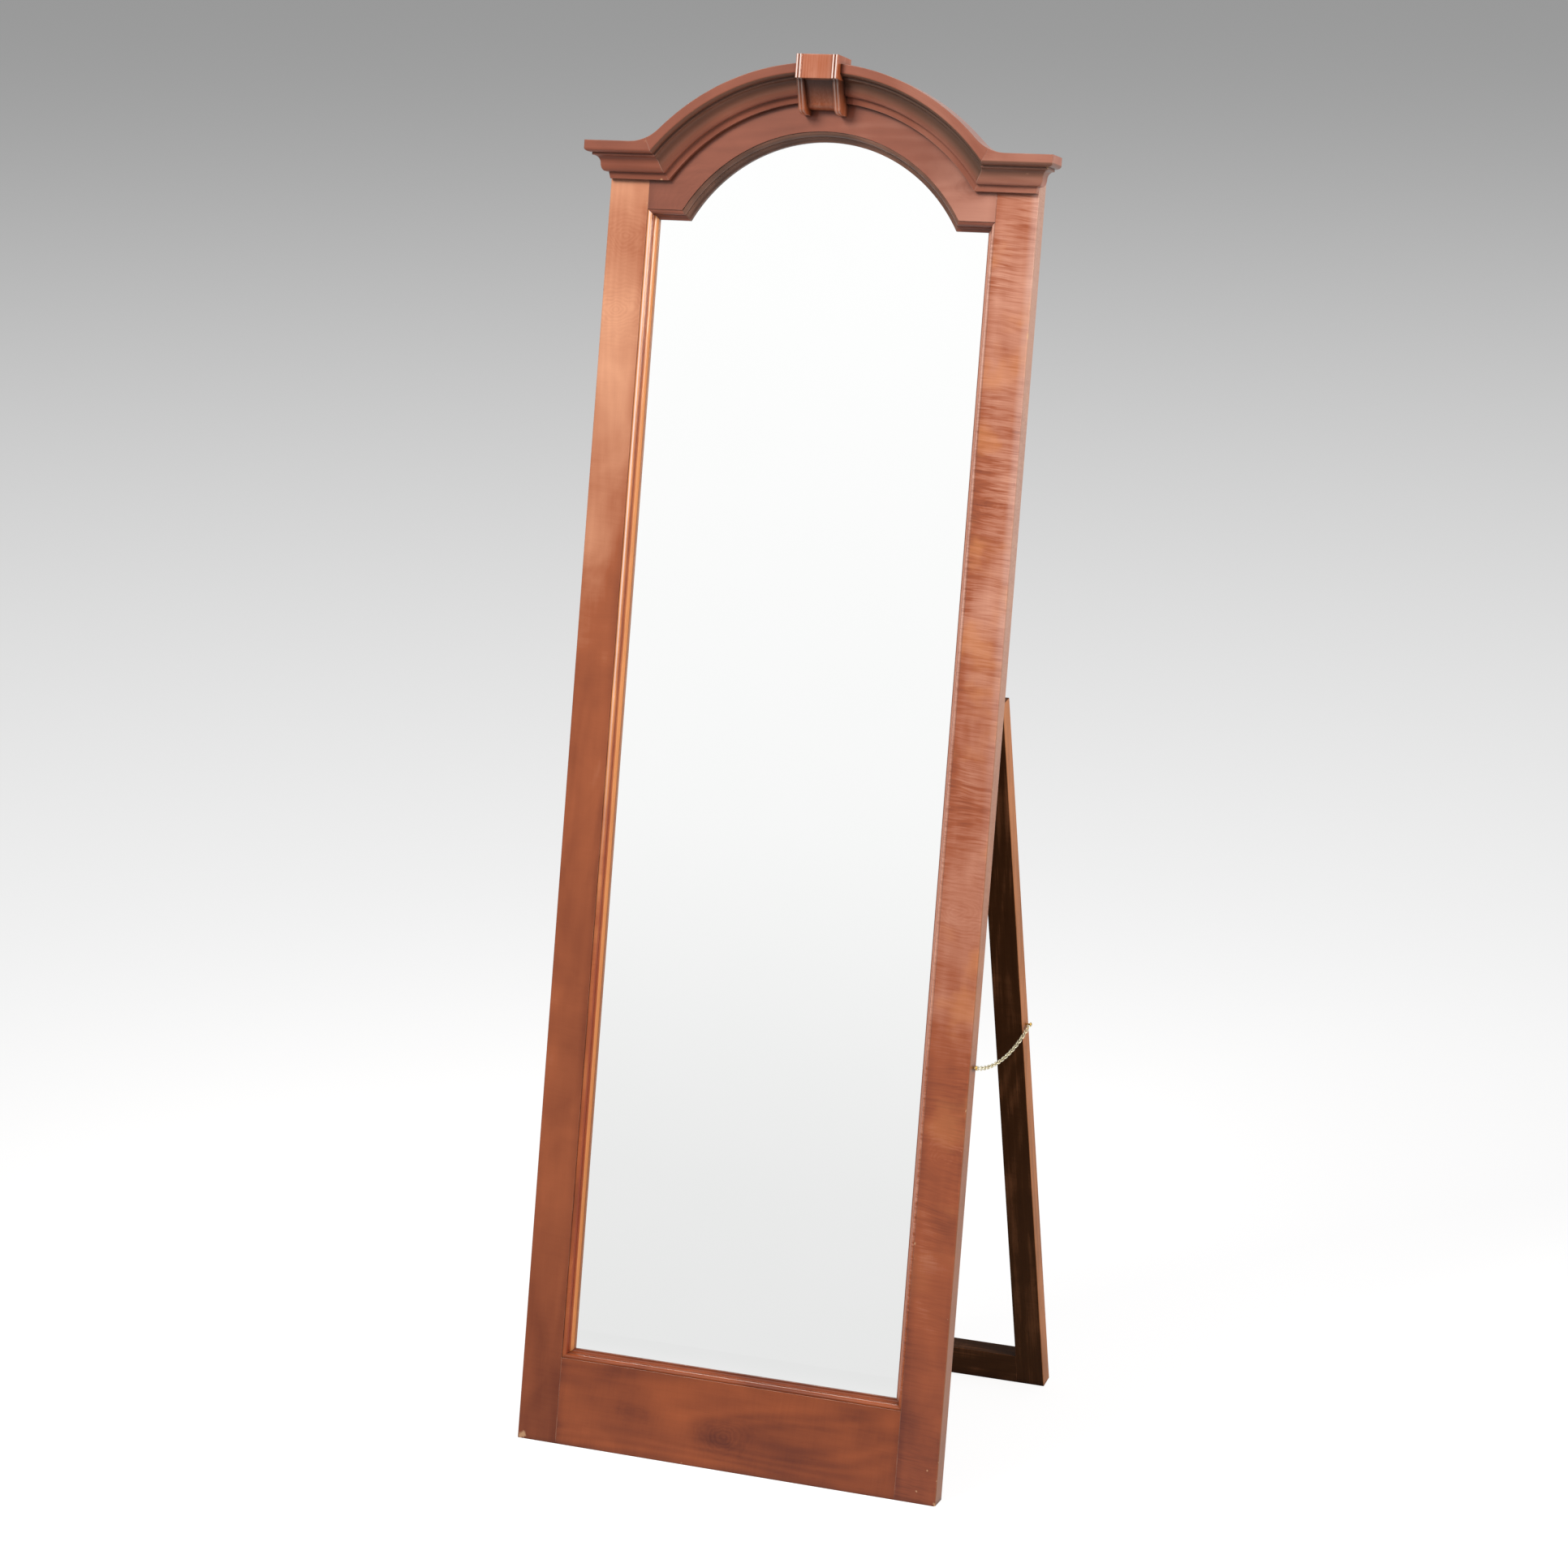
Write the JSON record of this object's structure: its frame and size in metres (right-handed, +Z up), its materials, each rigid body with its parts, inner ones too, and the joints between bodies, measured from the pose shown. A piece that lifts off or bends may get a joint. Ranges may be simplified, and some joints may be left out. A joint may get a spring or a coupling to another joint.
{
  "type": "cheval mirror",
  "caption": "Full length floor mirror in an arched wooden frame with a moulded crown and keystone, leaning on a hinged easel back with a chain stay.",
  "frame": {"origin": "on the floor, in the middle of the space that the open mirror takes up", "axes": "+X to the right of someone who faces the glass, +Y to the back, +Z up"},
  "size_m": [0.727, 0.5188, 2.0333],
  "materials": {
    "cherry_stiles": "reddish brown stained curly cherry, satin lacquer",
    "cherry_rails": "reddish brown stained cherry, satin lacquer",
    "cherry_crown": "reddish brown stained cherry, gloss lacquer",
    "cherry_moulding": "reddish brown stained cherry, gloss lacquer",
    "cherry_easel": "dark reddish brown stained cherry, satin lacquer",
    "beech_dowels": "bare beech",
    "hardboard": "smooth brown hardboard",
    "silvered_glass": "silvered float glass",
    "brass_hinges": "rolled brass, lightly tarnished",
    "brass_screws": "brass",
    "brass_chain": "bright brass wire"
  },
  "bodies": {
    "frame": {"left_stile": "cherry_stiles", "right_stile": "cherry_stiles", "top_rail": "cherry_rails", "bottom_rail": "cherry_rails", "frame_dowels": "beech_dowels", "crown_arch_left": "cherry_crown", "crown_arch_right": "cherry_crown", "crown_shoulder_left": "cherry_crown", "crown_shoulder_right": "cherry_crown", "crown_return_left": "cherry_crown", "crown_return_right": "cherry_crown", "crown_screws": "brass_screws", "keystone_block": "cherry_crown", "keystone_left_cheek": "cherry_crown", "keystone_right_cheek": "cherry_crown", "sight_left": "cherry_moulding", "sight_right": "cherry_moulding", "sight_bottom": "cherry_moulding", "sight_shoulder_left": "cherry_moulding", "sight_shoulder_right": "cherry_moulding", "sight_arch": "cherry_moulding", "mirror_plate": "silvered_glass", "backing_board": "hardboard", "backing_screws": "brass_screws", "hinge_frame_leaf_left": "brass_hinges", "hinge_frame_leaf_right": "brass_hinges", "hinge_pin_left": "brass_hinges", "hinge_pin_right": "brass_hinges", "hinge_frame_screws": "brass_screws", "chain_frame_screw": "brass_screws"},
    "easel": {"easel_left_leg": "cherry_easel", "easel_right_leg": "cherry_easel", "easel_top_rail": "cherry_easel", "easel_bottom_rail": "cherry_easel", "easel_dowels": "beech_dowels", "hinge_easel_leaf_left": "brass_hinges", "hinge_easel_leaf_right": "brass_hinges", "hinge_easel_screws": "brass_screws", "chain_leg_screw": "brass_screws"},
    "front_chain": {"chain_front_run": "brass_chain"},
    "rear_chain": {"chain_rear_run": "brass_chain"}
  },
  "joints": [
    {"name": "easel_fold", "type": "hinge", "parent": "frame", "child": "easel", "pos_m": [0, 0.00056, 1.13083], "axis": [1, 0, 0], "range_deg": [-23.2, 0.4], "deforming": ["chain_front_run", "chain_rear_run"]},
    {"name": "chain_front_swing", "type": "hinge", "parent": "frame", "child": "front_chain", "pos_m": [0.3378, -0.11848, 0.61932], "axis": [1, 0, 0], "range_deg": [-75, 2]},
    {"name": "chain_rear_swing", "type": "hinge", "parent": "easel", "child": "rear_chain", "pos_m": [0.3378, 0.11999, 0.61736], "axis": [1, 0, 0], "range_deg": [-2, 100]}
  ],
  "couplings": [
    {"joint": "chain_front_swing", "follows": "easel_fold", "ratio": 3.165},
    {"joint": "chain_rear_swing", "follows": "easel_fold", "ratio": -4.2313}
  ]
}
